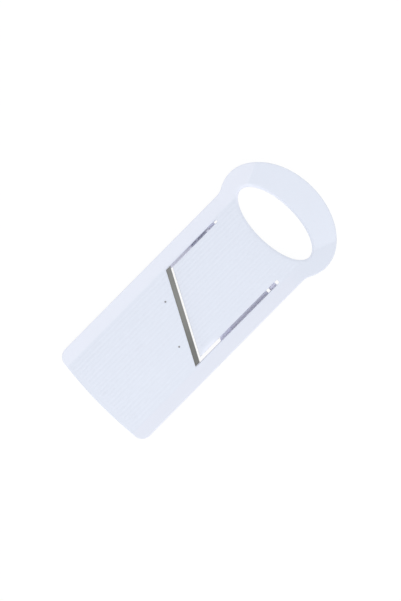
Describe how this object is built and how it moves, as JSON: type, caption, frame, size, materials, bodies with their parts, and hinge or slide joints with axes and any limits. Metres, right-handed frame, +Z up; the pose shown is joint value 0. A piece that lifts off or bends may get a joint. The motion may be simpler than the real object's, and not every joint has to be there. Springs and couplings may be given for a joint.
{
  "type": "vegetable slicer",
  "caption": "Flat adjustable vegetable slicer with a ring handle, side rails, ribbed infeed and outfeed decks, a diagonal steel blade and a thumb screw beneath that sets the slice thickness.",
  "frame": {"origin": "middle of the bounding box on the plane that the two runners stand on", "axes": "+X across to the right with the handle away from the viewer, +Y along the board toward the ring handle, +Z up out of the decks"},
  "size_m": [0.1424, 0.32, 0.0296],
  "materials": {
    "board_plastic": "smooth satin white moulding with a cool tint",
    "under_plastic": "smooth satin white moulding",
    "blade_steel": "ground stainless strip",
    "fastener_steel": "plain stainless",
    "brass": "machined brass"
  },
  "bodies": {
    "board": {"body_shell": "board_plastic", "slicing_blade": "blade_steel", "blade_clamp": "under_plastic", "blade_rivet_left": "fastener_steel", "blade_rivet_right": "fastener_steel", "bridge_plate": "under_plastic", "bridge_screw_rear_left": "fastener_steel", "bridge_screw_rear_right": "fastener_steel", "bridge_screw_front_left": "fastener_steel", "bridge_screw_front_right": "fastener_steel", "adjuster_nut": "brass"},
    "deck": {"infeed_deck": "board_plastic"},
    "pad": {"thrust_pad": "brass"},
    "screw": {"adjuster_stud": "fastener_steel", "adjuster_knob": "under_plastic"}
  },
  "joints": [
    {"name": "screw_travel", "type": "slide", "parent": "board", "child": "pad", "axis": [0, 0, 1], "range_m": [-0.00075, 0.00075]},
    {"name": "screw_turn", "type": "hinge", "parent": "pad", "child": "screw", "pos_m": [0, 0.024, 0.007], "axis": [0, 0, 1], "range_deg": [-180.5, 180.5]},
    {"name": "deck_tilt", "type": "hinge", "parent": "board", "child": "deck", "pos_m": [0, 0.0645, 0.0226], "axis": [1, 0, 0], "range_deg": [-1.07, 1.07]}
  ],
  "couplings": [
    {"joint": "screw_turn", "follows": "screw_travel", "rad_per_m": 4188.8},
    {"joint": "deck_tilt", "follows": "screw_travel", "rad_per_m": -24.691}
  ]
}
